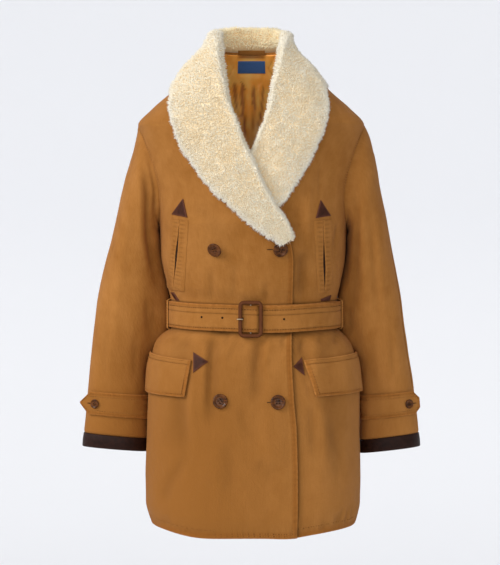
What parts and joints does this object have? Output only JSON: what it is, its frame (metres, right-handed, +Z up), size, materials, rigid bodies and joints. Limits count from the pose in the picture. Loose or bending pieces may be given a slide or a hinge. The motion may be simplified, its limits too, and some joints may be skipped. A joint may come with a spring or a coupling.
{
  "type": "shearling-trimmed coat",
  "caption": "Belted double-breasted canvas coat with a wool shawl collar, leather trim and filled-out sleeves, open at neck, hem and cuffs.",
  "frame": {"origin": "middle of the neck opening, at the height of the back neck seam, where the wearer's shoulders and neck hold the coat", "axes": "+X to the right of a viewer who looks at the coat's front, -Y towards that viewer, +Z up"},
  "size_m": [0.5893, 0.2741, 0.873],
  "materials": {
    "canvas": "matt washed cotton canvas",
    "shearling": "cream wool pile",
    "leather": "dark brown, soft sheen",
    "buckle_leather": "dark brown, worn",
    "buckle_metal": "polished",
    "button": "dark brown horn look",
    "lining": "quilted satin",
    "label": "plain woven tape"
  },
  "bodies": {
    "root": {"back": "canvas", "belt": "canvas", "belt_loop_left": "canvas", "belt_loop_right": "canvas", "buckle_bar": "buckle_metal", "buckle_frame": "buckle_leather", "buckle_prong": "buckle_metal", "chest_patch_lower_left": "leather", "chest_patch_lower_right": "leather", "chest_patch_upper_left": "leather", "chest_patch_upper_right": "leather", "chest_welt_front_left": "canvas", "chest_welt_front_right": "canvas", "chest_welt_side_left": "canvas", "chest_welt_side_right": "canvas", "collar_over": "shearling", "collar_under": "shearling", "cuff_binding_left": "leather", "cuff_binding_right": "leather", "cuff_button_left": "button", "cuff_button_right": "button", "cuff_strap_left": "canvas", "cuff_strap_right": "canvas", "front_button_lower_left": "button", "front_button_lower_right": "button", "front_button_upper_left": "button", "front_button_upper_right": "button", "front_over": "canvas", "front_under": "canvas", "hanger_loop": "canvas", "hip_patch_left": "leather", "hip_patch_right": "leather", "lining_back": "lining", "neck_label": "label", "pocket_flap_left": "canvas", "pocket_flap_right": "canvas", "sleeve_front_left": "canvas", "sleeve_front_right": "canvas", "sleeve_rear_left": "canvas", "sleeve_rear_right": "canvas"}
  },
  "joints": []
}
